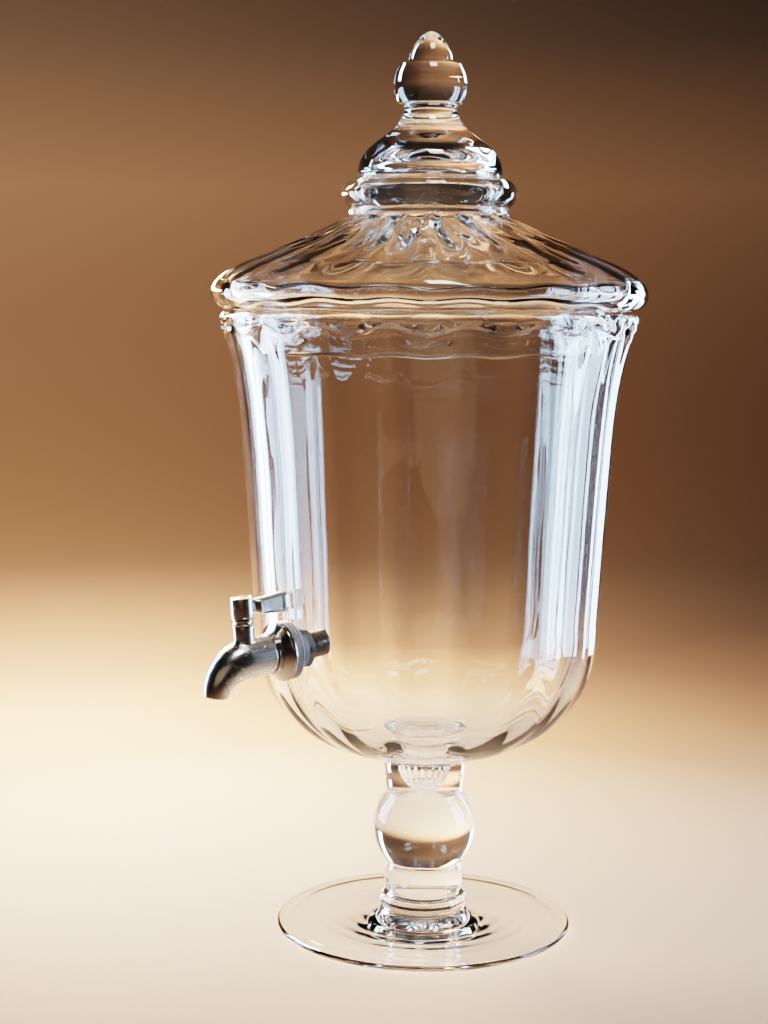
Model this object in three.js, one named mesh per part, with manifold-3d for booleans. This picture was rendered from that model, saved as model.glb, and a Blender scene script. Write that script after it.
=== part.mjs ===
// Countertop water dispenser: a footed, fluted glass drinks dispenser with a
// lift-off glass lid and a quarter-turn steel tap. Millimetres, +Z up, the foot
// rests on z = 0 and the tap points along -Y.

import * as THREE from 'three';
import { mergeVertices } from 'three/addons/utils/BufferGeometryUtils.js';
import Module from 'manifold-3d';

const wasm = await Module();
wasm.setup();

// ---------------------------------------------------------------- dimensions

const GAP = 0.3;                    // clearance between neighbours that touch

// glass foot, collar and stem
const FOOT_R = 92;
const FOOT_EDGE = 3.2;              // thickness of the foot at its rim
const FOOT_TOP = 8.6;               // where the foot meets the collar
const COLLAR_R = 27.5;
const COLLAR_TOP = 21;
const STEM_TOP = 107.6;
const KNOP_R = 32;
const KNOP_Z = 62.5;

// glass bowl
const FLUTES = 18;
const BOWL_R = 106.3;               // crest radius where the round bottom ends
const BOWL_SHOULDER_Z = 195;
const BOWL_BASE_Z = 107.6;
const BOWL_ROUNDNESS = 2.45;        // exponent of the superellipse bottom
const BOWL_TAPER = 11.3;            // growth of radius up to the rim
const BOWL_FLARE = 9.5;             // extra growth just below the rim
const FLARE_POWER = 7;
const RIM_Z = 376;
const RIM_BEAD_R = 3.6;
const FLUTE_OUT = 1.35;             // half the depth of a flute, outside
const FLUTE_IN = 0.65;              // and inside
const WALL = 4.6;
const BASE_THICK = 9;

// glass lid
const LID_SEAT_Z = 383.5;
const LID_R = 132.6;
const LID_EDGE_Z = 393;
const SKIRT_R = 112.5;
const SKIRT_WALL = 3.6;
const SKIRT_BOTTOM_Z = 358.5;
const NECK_R = 48.8;
const NECK_TOP_Z = 444.6;
const NECK_WALL = 5;
const RING_R = 53.2;
const RING_Z = 453.6;
const CROWN_TOP_Z = 504;
const BALL_R = 22.1;
const BALL_Z = 518.3;
const TIP_Z = 550;

// tap, in its own frame: u runs outwards from the glass, w runs up
const TAP_Z = 186.1;
const TAP_TILT = THREE.MathUtils.degToRad(4.6);
const TAP_WALL_R = BOWL_R - 0.6 - 2 * FLUTE_OUT;
const HOLE_R = 8.9;
const SHANK_R = 8;
const SHANK_END = -25.1;
const WATERWAY_R = 4.6;
const FLANGE_R = 17.5;
const GASKET_R = 17.3;
const GASKET_FRONT = 7;
const FLANGE_FRONT = 16.7;
const BARREL_R = 11.7;
const BARREL_START = 17;
const VALVE_U = 32.2;
const SPOUT_BEND_R = 22.9;
const SPOUT_BEND = THREE.MathUtils.degToRad(76);
const SPOUT_R = 7;
const VALVE_BALL_R = 6.6;
const CAVITY_R = 7.6;
const SEAT_R = 7.3;
const BOSS_R = 6.1;
const BOSS_TOP = 20.1;
const SPINDLE_BORE_R = 4.6;
const NUT_HEAD_TOP = 24.1;
const HUB_R = 6.6;
const HUB_BOTTOM = 24.5;
const HUB_TOP = 36.7;
const LEVER_TIP_U = 0.6;

// ---------------------------------------------------------------- materials

const glassLook = () => new THREE.MeshStandardMaterial({
  color: 0xdfe8ea, roughness: 0.05, metalness: 0, transparent: true, opacity: 0.35,
});
const steelLook = (roughness = 0.18) => new THREE.MeshStandardMaterial({
  color: 0xb9bbbe, roughness, metalness: 1,
});
const siliconeLook = (color = 0x767b84) => new THREE.MeshStandardMaterial({
  color, roughness: 0.6, metalness: 0,
});
const ptfeLook = () => new THREE.MeshStandardMaterial({
  color: 0xf1f0ea, roughness: 0.45, metalness: 0,
});

// ---------------------------------------------------------------- geometry helpers

// A closed surface from rings of points, each ring an array of Vector3 with the
// same count. A looped surface joins its last ring to its first; any other is
// closed at each end by a fan round the ring's centre.
function ringsToGeometry(rings, looped = false) {
  const count = rings[0].length;
  const points = rings.flat();
  const index = [];
  const bands = looped ? rings.length : rings.length - 1;
  for (let ring = 0; ring < bands; ring += 1) {
    const here = ring * count;
    const above = ((ring + 1) % rings.length) * count;
    for (let side = 0; side < count; side += 1) {
      const next = (side + 1) % count;
      index.push(here + side, here + next, above + next);
      index.push(here + side, above + next, above + side);
    }
  }
  if (!looped) {
    const lastStart = (rings.length - 1) * count;
    [rings[0], rings[rings.length - 1]].forEach((ring) => {
      const sum = new THREE.Vector3();
      ring.forEach((point) => sum.add(point));
      points.push(sum.divideScalar(count));
    });
    for (let side = 0; side < count; side += 1) {
      const next = (side + 1) % count;
      index.push(points.length - 2, next, side);
      index.push(points.length - 1, lastStart + side, lastStart + next);
    }
  }
  const geometry = new THREE.BufferGeometry().setFromPoints(points);
  geometry.setIndex(index);
  return geometry;
}

// Turns an outline of { r, z, flute, inside } about Z. It runs anticlockwise:
// up the outside and down the inside. Each flute presses the surface towards
// the axis along the outline's normal, and one hollow lies on the -Y side.
function flutedTurn(outline, looped = false) {
  const total = outline.length;
  const neighbour = (i) => outline[looped ? (i + total) % total : THREE.MathUtils.clamp(i, 0, total - 1)];
  const rings = outline.map((point, i) => {
    const before = neighbour(i - 1);
    const after = neighbour(i + 1);
    const length = Math.hypot(after.r - before.r, after.z - before.z);
    const depth = (point.inside ? -1 : 1) * (point.flute ?? 0);
    const pressR = (depth * (after.z - before.z)) / length;
    const pressZ = (depth * (before.r - after.r)) / length;
    return Array.from({ length: FLUTES * 4 }, (_, side) => {
      const turn = (side * Math.PI) / (FLUTES * 2);
      const hollow = 1 + Math.cos(FLUTES * turn);
      const r = point.r - pressR * hollow;
      return new THREE.Vector3(r * Math.sin(turn), -r * Math.cos(turn), point.z - pressZ * hollow);
    });
  });
  return ringsToGeometry(rings, looped);
}

// Turns an outline of [radius, height] about Z: open outlines start and end on
// the axis, and ring sections come back to their first point.
function lathe(outline, segments) {
  const points = outline.map(([r, z]) => new THREE.Vector2(r, z));
  const geometry = new THREE.LatheGeometry(points, segments);
  geometry.rotateX(Math.PI / 2);
  return geometry;
}

// A washer or tube along Z.
function tube(rIn, rOut, z0, z1, segments = 28) {
  return lathe([[rIn, z0], [rOut, z0], [rOut, z1], [rIn, z1], [rIn, z0]], segments);
}

function rod(r, z0, z1, segments = 28) {
  return lathe([[0, z0], [r, z0], [r, z1], [0, z1]], segments);
}

function block(x0, x1, y0, y1, z0, z1) {
  const box = new THREE.BoxGeometry(x1 - x0, y1 - y0, z1 - z0);
  return box.translate((x0 + x1) / 2, (y0 + y1) / 2, (z0 + z1) / 2);
}

// A round cross-section that changes radius along a path in the Y-Z plane.
function sweepRound(stations, sides) {
  const rings = stations.map(({ u, w, turn, r }) => {
    const across = new THREE.Vector3(1, 0, 0);
    const normal = new THREE.Vector3(0, -Math.sin(turn), Math.cos(turn));
    return Array.from({ length: sides }, (_, side) => {
      const angle = (-side / sides) * 2 * Math.PI;
      return new THREE.Vector3(0, -u, w)
        .addScaledVector(across, r * Math.sin(angle))
        .addScaledVector(normal, r * Math.cos(angle));
    });
  });
  return ringsToGeometry(rings);
}

// Points on a circular arc from angle a0 to a1, in degrees.
function arc(centreR, centreZ, radius, a0, a1, steps) {
  return Array.from({ length: steps + 1 }, (_, i) => {
    const angle = THREE.MathUtils.degToRad(a0 + ((a1 - a0) * i) / steps);
    return [centreR + radius * Math.cos(angle), centreZ + radius * Math.sin(angle)];
  });
}

// ---------------------------------------------------------------- solids

function solid(geometry) {
  const bare = geometry.clone();
  bare.deleteAttribute('normal');
  bare.deleteAttribute('uv');
  const merged = mergeVertices(bare, 1e-4);
  const mesh = new wasm.Mesh({
    numProp: 3,
    vertProperties: Float32Array.from(merged.attributes.position.array),
    triVerts: Uint32Array.from(merged.index.array),
  });
  mesh.merge();
  return new wasm.Manifold(mesh);
}

function toGeometry(manifold) {
  const mesh = manifold.getMesh();
  const geometry = new THREE.BufferGeometry();
  geometry.setAttribute('position', new THREE.BufferAttribute(mesh.vertProperties, 3));
  geometry.setIndex(new THREE.BufferAttribute(mesh.triVerts, 1));
  geometry.computeVertexNormals();
  return geometry;
}

function cut(geometry, ...tools) {
  return toGeometry(tools.reduce((left, tool) => left.subtract(solid(tool)), solid(geometry)));
}

function join(...geometries) {
  return toGeometry(geometries.map(solid).reduce((sum, next) => sum.add(next)));
}

function common(first, second) {
  return toGeometry(solid(first).intersect(solid(second)));
}

// ---------------------------------------------------------------- the model

const dispenser = new THREE.Group();

function place(parent, name, geometry, material) {
  const mesh = new THREE.Mesh(geometry, material);
  mesh.name = name;
  parent.add(mesh);
  return mesh;
}

// ---- glass stand: foot, collar and knopped stem

const footOutline = [
  [0, 0],
  [FOOT_R - 1.2, 0],
  ...arc(FOOT_R - FOOT_EDGE / 2, FOOT_EDGE / 2, FOOT_EDGE / 2, -60, 75, 4),
  [FOOT_R * 0.72, FOOT_EDGE + 1.5],
  [FOOT_R * 0.45, FOOT_TOP - 2],
  [FOOT_R * 0.28, FOOT_TOP],
  [0, FOOT_TOP],
];
place(dispenser, 'glass_foot', lathe(footOutline, 36), glassLook());

const collarMid = (FOOT_TOP + COLLAR_TOP) / 2;
const collarHalf = (COLLAR_TOP - FOOT_TOP) / 2;
const collarOutline = [
  [0, FOOT_TOP],
  ...arc(COLLAR_R - collarHalf, collarMid, collarHalf, -90, 90, 6),
  [0, COLLAR_TOP],
];
place(dispenser, 'glass_collar', lathe(collarOutline, 28), glassLook());

const stemOutline = [
  [0, COLLAR_TOP],
  [22, COLLAR_TOP],
  [24.3, COLLAR_TOP + 5],
  [24.3, COLLAR_TOP + 16],
  [23.2, COLLAR_TOP + 20],
  ...arc(0, KNOP_Z, KNOP_R, -38, 40, 8),
  [23.2, KNOP_Z + 22],
  [24.6, KNOP_Z + 26],
  [24.6, STEM_TOP - 3],
  [27.5, STEM_TOP],
  [0, STEM_TOP],
];
place(dispenser, 'glass_stem', lathe(stemOutline, 28), glassLook());

// ---- glass bowl

// Crest radius of the outside of the bowl at height z.
function bowlRadius(z) {
  if (z < BOWL_SHOULDER_Z) {
    const drop = (BOWL_SHOULDER_Z - z) / (BOWL_SHOULDER_Z - BOWL_BASE_Z);
    return BOWL_R * (1 - Math.max(drop, 0) ** BOWL_ROUNDNESS) ** (1 / BOWL_ROUNDNESS);
  }
  const rise = (z - BOWL_SHOULDER_Z) / (RIM_Z - BOWL_SHOULDER_Z);
  return BOWL_R + BOWL_TAPER * rise + BOWL_FLARE * rise ** FLARE_POWER;
}

// Points of the superellipse bottom, evenly stepped by angle.
function bowlBottom(radius, baseZ, steps) {
  return Array.from({ length: steps }, (_, i) => {
    const angle = ((i + 1) / (steps + 1)) * (Math.PI / 2);
    const power = 2 / BOWL_ROUNDNESS;
    return {
      r: radius * Math.sin(angle) ** power,
      z: BOWL_SHOULDER_Z - (BOWL_SHOULDER_Z - baseZ) * Math.cos(angle) ** power,
    };
  });
}

// The bowl's section. A positive grow makes the same wall thicker all round,
// which is what the gaskets are cut with.
function bowlOutline(grow = 0) {
  const outside = { flute: FLUTE_OUT };
  const inside = { flute: FLUTE_IN, inside: true };
  const fade = (z) => Math.min(1, Math.max(0, (z - BOWL_BASE_Z - 4) / 30));
  const wallZ = [BOWL_SHOULDER_Z, 265, 325, 352, 367];
  const beadR = bowlRadius(RIM_Z) - RIM_BEAD_R;
  const beadZ = RIM_Z + 3.4;
  const insideBase = BOWL_BASE_Z + BASE_THICK;
  return [
    { r: 0.5, z: BOWL_BASE_Z - grow },
    ...bowlBottom(BOWL_R + grow, BOWL_BASE_Z - grow, 6)
      .map((p) => ({ ...p, flute: FLUTE_OUT * fade(p.z) })),
    ...wallZ.map((z) => ({ ...outside, r: bowlRadius(z) + grow, z })),
    ...arc(beadR, beadZ, RIM_BEAD_R + grow, -40, 180, 4).map(([r, z]) => ({ ...outside, r, z })),
    ...[...wallZ].reverse().map((z) => ({ ...inside, r: bowlRadius(z) - WALL - grow, z })),
    ...bowlBottom(BOWL_R - WALL - grow, insideBase + grow, 5).reverse()
      .map((p) => ({ ...p, inside: true, flute: FLUTE_IN * fade(p.z - BASE_THICK) })),
    { r: 0.5, z: insideBase + grow },
  ];
}

// Moves a geometry drawn in the tap's frame to its place on the bowl.
function toTapPlace(geometry) {
  return geometry.rotateX(TAP_TILT).translate(0, -TAP_WALL_R, TAP_Z);
}

// Lays a geometry turned about Z along the tap's u axis.
function alongU(geometry) {
  return geometry.rotateX(Math.PI / 2);
}

const bowlBlank = flutedTurn(bowlOutline());
const tapHole = toTapPlace(alongU(rod(HOLE_R, -12, 6)));
place(dispenser, 'glass_bowl', cut(bowlBlank, tapHole), glassLook());

// ---- glass lid: fluted dome with an inner skirt, hollow crown and solid finial

const lid = new THREE.Group();
dispenser.add(lid);

const lidFlute = { flute: 1.2 };
const lidUnder = { flute: 0.5, inside: true };
const shoulderR = LID_R - 13;
const lidOutline = [
  { r: SKIRT_R - SKIRT_WALL / 2, z: SKIRT_BOTTOM_Z },
  { r: SKIRT_R, z: SKIRT_BOTTOM_Z + 2 },
  { r: SKIRT_R, z: LID_SEAT_Z - 6 },
  { r: SKIRT_R + 5, z: LID_SEAT_Z },
  { r: LID_R - 7.4, z: LID_SEAT_Z + 0.6, flute: 0.4 },
  { ...lidFlute, r: LID_R - 2.6, z: LID_EDGE_Z - 5 },
  { ...lidFlute, r: LID_R, z: LID_EDGE_Z },
  { ...lidFlute, r: LID_R - 3.4, z: LID_EDGE_Z + 9 },
  { ...lidFlute, r: shoulderR, z: LID_EDGE_Z + 16.6 },
  { ...lidFlute, r: 92.1, z: 420.8 },
  { r: 62.4, z: 433, flute: 0.6 },
  { r: NECK_R, z: 440 },
  { r: NECK_R, z: NECK_TOP_Z },
  { r: NECK_R - NECK_WALL, z: NECK_TOP_Z, inside: true },
  { r: NECK_R - NECK_WALL, z: 436.5, inside: true },
  { ...lidUnder, r: 60, z: 429 },
  { ...lidUnder, r: 90, z: 416.4 },
  { ...lidUnder, r: shoulderR - 4, z: 403.5 },
  { r: SKIRT_R - SKIRT_WALL, z: 392, inside: true },
  { r: SKIRT_R - SKIRT_WALL, z: SKIRT_BOTTOM_Z + 2, inside: true },
];

place(lid, 'glass_lid', flutedTurn(lidOutline, true), glassLook());

const crownOutline = [
  [NECK_R - NECK_WALL, NECK_TOP_Z],
  [NECK_R - 0.6, NECK_TOP_Z],
  ...arc(RING_R - 9, RING_Z, 9, -78, 78, 5),
  [43.8, 463.8],
  [44, 466],
  [43, 469.5],
  [35.9, 480.4],
  [29.3, 486.3],
  [22.4, 493.3],
  [18.4, 499.5],
  [16, CROWN_TOP_Z],
  [0, CROWN_TOP_Z],
  [0, 480],
  [12, 479],
  [28, 473],
  [37.6, 465],
  [39.6, 461.5],
  [45, RING_Z],
  [42, NECK_TOP_Z + 2],
  [NECK_R - NECK_WALL, NECK_TOP_Z],
];
place(lid, 'glass_crown', lathe(crownOutline, 28), glassLook());

const finialOutline = [
  [0, CROWN_TOP_Z],
  [14, CROWN_TOP_Z],
  [15.9, CROWN_TOP_Z + 1.6],
  [15.4, CROWN_TOP_Z + 3.2],
  ...arc(0, BALL_Z, BALL_R, -28, 31, 6).map(([r, z]) => [r, BALL_Z + (z - BALL_Z) * 1.02]),
  [13.4, 530.7],
  [13.3, 533.6],
  [10.8, 539.5],
  [6.9, 545.4],
  [3, 549.2],
  [0, TIP_Z],
];
place(lid, 'glass_finial', lathe(finialOutline, 24), glassLook());

// ---- tap: everything below is drawn in the tap's frame and hangs in one group

const tap = new THREE.Group();
tap.position.set(0, -TAP_WALL_R, TAP_Z);
tap.rotation.x = TAP_TILT;
dispenser.add(tap);

// The glass round the tap hole, seen from the tap's frame and grown by the gap.
const grownWall = flutedTurn(bowlOutline(GAP))
  .translate(0, TAP_WALL_R, -TAP_Z)
  .rotateX(-TAP_TILT);

// outer gasket: three rounded ridges round its edge
const gasketRidges = 3;
const ridge = GASKET_FRONT / gasketRidges;
const gasketEdge = Array.from({ length: gasketRidges }, (_, i) => [
  [GASKET_R - 0.7, i * ridge + 0.15],
  [GASKET_R, (i + 0.5) * ridge],
]).flat();
const gasketOutline = [
  [SHANK_R + GAP, -2.5],
  [GASKET_R - 0.7, -2.5],
  ...gasketEdge,
  [GASKET_R - 0.7, GASKET_FRONT],
  [SHANK_R + GAP, GASKET_FRONT],
  [SHANK_R + GAP, -2.5],
];
const outerGasket = cut(alongU(lathe(gasketOutline, 28)), grownWall);
place(tap, 'outer_gasket', outerGasket, siliconeLook());

// inner gasket and lock nut on the threaded shank
const INNER_GASKET_BACK = -6.1;
const innerGasket = cut(alongU(tube(SHANK_R + GAP, 12.6, INNER_GASKET_BACK, -2.4)), grownWall);
place(tap, 'inner_gasket', innerGasket, siliconeLook(0x3a3c40));

const NUT_THICK = 3.4;
const NUT_CORNER_R = 12.7;
const nutFront = INNER_GASKET_BACK - GAP;
const hexagon = rod(NUT_CORNER_R, nutFront - NUT_THICK, nutFront, 6);
const nutBore = rod(SHANK_R + GAP, nutFront - NUT_THICK - 1, nutFront + 1);
place(tap, 'lock_nut', alongU(cut(hexagon, nutBore)), steelLook(0.3));

// tailpiece: threaded shank, flange and the nose that screws into the barrel
const NOSE_R = 8.7;
const NOSE_END = 24.8;
const flangeBack = GASKET_FRONT + GAP;
const tailOutline = [
  [WATERWAY_R, SHANK_END],
  [SHANK_R - 1, SHANK_END],
  [SHANK_R, SHANK_END + 1],
  [SHANK_R, flangeBack],
  [FLANGE_R - 0.4, flangeBack],
  [FLANGE_R, flangeBack + 0.4],
  [FLANGE_R, flangeBack + 2.6],
  [BARREL_R + 1.2, flangeBack + 5.6],
  [BARREL_R + 0.5, flangeBack + 6.2],
  [BARREL_R + 0.7, flangeBack + 7.6],
  [BARREL_R + 0.2, flangeBack + 8.2],
  [BARREL_R + 0.5, FLANGE_FRONT - 0.5],
  [BARREL_R, FLANGE_FRONT],
  [NOSE_R, FLANGE_FRONT],
  [NOSE_R, NOSE_END],
  [WATERWAY_R, NOSE_END],
  [WATERWAY_R, SHANK_END],
];
place(tap, 'tap_tailpiece', alongU(lathe(tailOutline, 28)), steelLook());

// tap body: barrel, curved spout, boss for the spindle
const SHOULDER_U = 26;
const SEAT_POCKET_U = 39.6;
function spoutStation(fraction, radius) {
  const turn = SPOUT_BEND * fraction;
  return {
    u: VALVE_U + SPOUT_BEND_R * Math.sin(turn),
    w: -SPOUT_BEND_R * (1 - Math.cos(turn)),
    turn,
    r: radius,
  };
}
const bendSteps = 7;
const bend = Array.from({ length: bendSteps }, (_, i) => (i + 1) / bendSteps);
const spoutOuter = [
  { u: BARREL_START, w: 0, turn: 0, r: BARREL_R - 0.3 },
  { u: BARREL_START + 0.6, w: 0, turn: 0, r: BARREL_R },
  { u: VALVE_U, w: 0, turn: 0, r: BARREL_R },
  ...bend.map((f) => spoutStation(f, BARREL_R - (BARREL_R - SPOUT_R) * f ** 1.6)),
];
const spoutInner = [
  { u: VALVE_U, w: 0, turn: 0, r: WATERWAY_R },
  ...bend.map((f) => spoutStation(f * 1.04, WATERWAY_R)),
];
const boss = rod(BOSS_R, 0, BOSS_TOP, 24).translate(0, -VALVE_U, 0);
const tapBody = cut(
  join(sweepRound(spoutOuter, 24), boss),
  sweepRound(spoutInner, 16),
  alongU(rod(NOSE_R + GAP, BARREL_START - 1, SHOULDER_U)),
  alongU(rod(CAVITY_R, SHOULDER_U - 1, SEAT_POCKET_U)),
  rod(SPINDLE_BORE_R, 2, BOSS_TOP + 1).translate(0, -VALVE_U, 0),
);
place(tap, 'tap_body', tapBody, steelLook());

const sealOutline = [CAVITY_R, NOSE_R, NOSE_END + GAP, SHOULDER_U - GAP];
place(tap, 'tail_seal', alongU(tube(...sealOutline)), ptfeLook());

// valve ball and its two seats
const ballSphere = (r, wide, high) => new THREE.SphereGeometry(r, wide, high);
const ballBore = rod(WATERWAY_R - 0.4, -10, 10, 24).rotateY(Math.PI / 2);
const SLOT_HALF = 1.6;
const SLOT_FLOOR = 4.9;
const ballSlot = block(-SLOT_HALF, SLOT_HALF, -8, 8, SLOT_FLOOR, 8);
const ball = cut(ballSphere(VALVE_BALL_R, 24, 14), ballBore, ballSlot);
place(tap, 'valve_ball', ball, steelLook(0.08)).position.set(0, -VALVE_U, 0);

const clearBall = ballSphere(VALVE_BALL_R + GAP, 24, 14).translate(0, -VALVE_U, 0);
const seatDepth = 3.2;
const seats = {
  ball_seat_rear: NOSE_END + GAP,
  ball_seat_front: SEAT_POCKET_U - GAP - seatDepth,
};
Object.entries(seats).forEach(([name, start]) => {
  const blank = alongU(tube(WATERWAY_R, SEAT_R, start, start + seatDepth, 28));
  place(tap, name, cut(blank, clearBall), ptfeLook());
});

// spindle stack, about the w axis
const spindleStack = new THREE.Group();
spindleStack.position.set(0, -VALVE_U, 0);
tap.add(spindleStack);

const SPINDLE_R = 4.2;
const SPINDLE_BASE = 7.9;
const SPINDLE_NECK_R = 3;
const GROOVE_R = 3;
const SPINDLE_STEP = 15.6;
const DRIVE_HALF = 2.5;
const DRIVE_TOP = 31;
const grooves = [9.4, 12.4];
const GROOVE_W = 1.9;
const spindleOutline = [
  [0, SPINDLE_BASE],
  [SPINDLE_R, SPINDLE_BASE],
  ...grooves.flatMap((w) => [
    [SPINDLE_R, w], [GROOVE_R, w], [GROOVE_R, w + GROOVE_W], [SPINDLE_R, w + GROOVE_W],
  ]),
  [SPINDLE_R, SPINDLE_STEP],
  [SPINDLE_NECK_R, SPINDLE_STEP],
  [SPINDLE_NECK_R, HUB_BOTTOM],
  [0, HUB_BOTTOM],
];
const tang = block(-SLOT_HALF + GAP, SLOT_HALF - GAP, -3, 3, SLOT_FLOOR + GAP, SPINDLE_BASE + 0.5);
const drive = block(-DRIVE_HALF, DRIVE_HALF, -DRIVE_HALF, DRIVE_HALF, HUB_BOTTOM - 1, DRIVE_TOP);
const driveRound = rod(3.1, HUB_BOTTOM - 1, DRIVE_TOP, 24);
const SCREW_HOLE_R = 1.75;
const spindle = cut(
  join(lathe(spindleOutline, 24), tang, common(drive, driveRound)),
  rod(SCREW_HOLE_R, 26, DRIVE_TOP + 1, 16),
);
place(spindleStack, 'spindle', spindle, steelLook(0.2));

const RING_THICK = 0.7;
grooves.forEach((w, i) => {
  const mid = w + GROOVE_W / 2;
  const radius = (GROOVE_R + SPINDLE_BORE_R) / 2;
  const section = arc(radius, mid, RING_THICK, 0, 360, 8);
  const name = i === 0 ? 'spindle_oring_lower' : 'spindle_oring_upper';
  place(spindleStack, name, lathe(section, 24), siliconeLook(0x1c1c1e));
});

const glandWasher = tube(SPINDLE_NECK_R + GAP, SPINDLE_R, SPINDLE_STEP + GAP, SPINDLE_STEP + 1, 24);
place(spindleStack, 'gland_washer', glandWasher, ptfeLook());

const packingOutline = [
  [SPINDLE_NECK_R + GAP, SPINDLE_STEP + 1.3],
  [SPINDLE_R, SPINDLE_STEP + 1.3],
  [SPINDLE_R, BOSS_TOP + GAP],
  [BOSS_R - 0.5, BOSS_TOP + GAP],
  [BOSS_R - 0.1, BOSS_TOP + GAP + 0.4],
  [BOSS_R - 0.1, NUT_HEAD_TOP - 0.4],
  [BOSS_R - 0.5, NUT_HEAD_TOP],
  [SPINDLE_NECK_R + GAP, NUT_HEAD_TOP],
  [SPINDLE_NECK_R + GAP, SPINDLE_STEP + 1.3],
];
place(spindleStack, 'packing_nut', lathe(packingOutline, 28), steelLook());

// lever: hub with an arm that reaches back over the barrel
const RECESS_R = 4.9;
const RECESS_FLOOR = 33;
const reach = VALVE_U - LEVER_TIP_U;
const ARM_HALF = 4.4;
const NECK_HALF = 2.8;
const armPlan = new THREE.Shape();
armPlan.moveTo(-NECK_HALF, 0);
armPlan.lineTo(-NECK_HALF, 8.2);
armPlan.lineTo(-ARM_HALF, 10.4);
armPlan.lineTo(-ARM_HALF, reach - 2.6);
armPlan.quadraticCurveTo(-ARM_HALF * 0.8, reach, 0, reach);
armPlan.quadraticCurveTo(ARM_HALF * 0.8, reach, ARM_HALF, reach - 2.6);
armPlan.lineTo(ARM_HALF, 10.4);
armPlan.lineTo(NECK_HALF, 8.2);
armPlan.lineTo(NECK_HALF, 0);
const armSlab = new THREE.ExtrudeGeometry(armPlan, { depth: 20, bevelEnabled: false, curveSegments: 4 })
  .translate(0, 0, 20);
const armSide = new THREE.Shape();
armSide.moveTo(0, 27);
armSide.lineTo(9, 27);
armSide.lineTo(reach - 1.4, 23);
armSide.quadraticCurveTo(reach + 0.4, 23, reach + 1, 29);
armSide.quadraticCurveTo(reach + 0.6, 35, reach - 2.2, 35);
armSide.lineTo(0, 35);
const armWeb = new THREE.ExtrudeGeometry(armSide, { depth: 12, bevelEnabled: false, curveSegments: 4 })
  .translate(0, 0, -6)
  .applyMatrix4(new THREE.Matrix4().set(0, 0, 1, 0, 1, 0, 0, 0, 0, 1, 0, 0, 0, 0, 0, 1));
const hubOutline = [
  [0, HUB_BOTTOM],
  [HUB_R - 0.8, HUB_BOTTOM],
  [HUB_R, HUB_BOTTOM + 0.9],
  [HUB_R, HUB_TOP - 0.7],
  [HUB_R - 0.7, HUB_TOP],
  [0, HUB_TOP],
];
const socketHalf = DRIVE_HALF + GAP;
const socket = common(
  block(-socketHalf, socketHalf, -socketHalf, socketHalf, HUB_BOTTOM - 1, DRIVE_TOP + GAP),
  rod(3.4, HUB_BOTTOM - 1, DRIVE_TOP + GAP, 24),
);
const leverHandle = cut(
  join(lathe(hubOutline, 28), common(armSlab, armWeb)),
  socket,
  rod(SPINDLE_NECK_R + GAP, HUB_BOTTOM - 1, HUB_BOTTOM + GAP, 24),
  rod(SCREW_HOLE_R + 0.1, DRIVE_TOP, HUB_TOP, 16),
  rod(RECESS_R, RECESS_FLOOR, HUB_TOP + 1, 24),
);
place(spindleStack, 'lever_handle', leverHandle, steelLook());

const screwOutline = [
  [0, 27.4],
  [1.4, 27.4],
  [1.4, RECESS_FLOOR + GAP],
  [3.4, RECESS_FLOOR + GAP],
  [3.2, RECESS_FLOOR + 1.6],
  [2.2, RECESS_FLOOR + 1.9],
  [0, RECESS_FLOOR + 1.9],
];
place(spindleStack, 'lever_screw', lathe(screwOutline, 16), steelLook(0.3));

const capOutline = [
  [0, HUB_TOP - 1.5],
  [RECESS_R - GAP, HUB_TOP - 1.5],
  [RECESS_R - GAP, HUB_TOP - 0.5],
  [RECESS_R - 0.8, HUB_TOP - 0.1],
  [0, HUB_TOP + 0.1],
];
place(spindleStack, 'lever_cap', lathe(capOutline, 24), steelLook());

export default dispenser;
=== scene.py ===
"""A footed glass water dispenser: fluted bowl, lift-off lid and quarter-turn tap, in metres."""

import math

import bpy
import numpy as np
from mathutils import Matrix, Vector


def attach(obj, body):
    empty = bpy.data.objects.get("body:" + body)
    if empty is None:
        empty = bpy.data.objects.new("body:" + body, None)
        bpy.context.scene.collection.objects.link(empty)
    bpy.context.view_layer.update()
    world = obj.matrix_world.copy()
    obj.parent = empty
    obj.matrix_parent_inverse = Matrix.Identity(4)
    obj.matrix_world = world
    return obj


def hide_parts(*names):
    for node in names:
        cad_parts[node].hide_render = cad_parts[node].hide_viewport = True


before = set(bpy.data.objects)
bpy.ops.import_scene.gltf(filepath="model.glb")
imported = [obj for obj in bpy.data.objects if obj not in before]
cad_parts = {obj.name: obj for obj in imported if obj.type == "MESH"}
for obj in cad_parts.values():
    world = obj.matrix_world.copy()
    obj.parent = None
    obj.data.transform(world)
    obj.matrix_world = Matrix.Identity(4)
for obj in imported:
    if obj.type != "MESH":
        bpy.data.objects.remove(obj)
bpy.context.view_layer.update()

# ------------------------------------------------------------------------------------------
# The camera and the studio.
# The dispenser stands on a paper sweep that curves up all round into a brown wall. The paper's
# colour is painted light: a pale painted pool of light on the floor round the dispenser, painted
# shade that darkens the wall towards the top, and a painted glow that the paper gives off itself,
# brightest low on the wall behind the dispenser to one side. A row of tall, narrow soft boxes
# stands on either side of it, and warm lamps light the wall and the floor behind.

MM = 0.001
VIEW_AZIMUTH = math.radians(50)
VIEW_DISTANCE = 1.129
EYE_HEIGHT = 0.390
VIEW_PITCH = math.radians(6.57)
VIEW_YAW = math.radians(1.34)
VIEW_ROLL = math.radians(0.4)

towards_eye = Vector((math.sin(VIEW_AZIMUTH), -math.cos(VIEW_AZIMUTH), 0))
ahead = Matrix.Rotation(VIEW_YAW, 3, "Z") @ -towards_eye
right = ahead.cross(Vector((0, 0, 1)))
look = ahead * math.cos(VIEW_PITCH) - Vector((0, 0, 1)) * math.sin(VIEW_PITCH)
over = right.cross(look)
camera_x = right * math.cos(VIEW_ROLL) + over * math.sin(VIEW_ROLL)
camera_y = over * math.cos(VIEW_ROLL) - right * math.sin(VIEW_ROLL)

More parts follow.
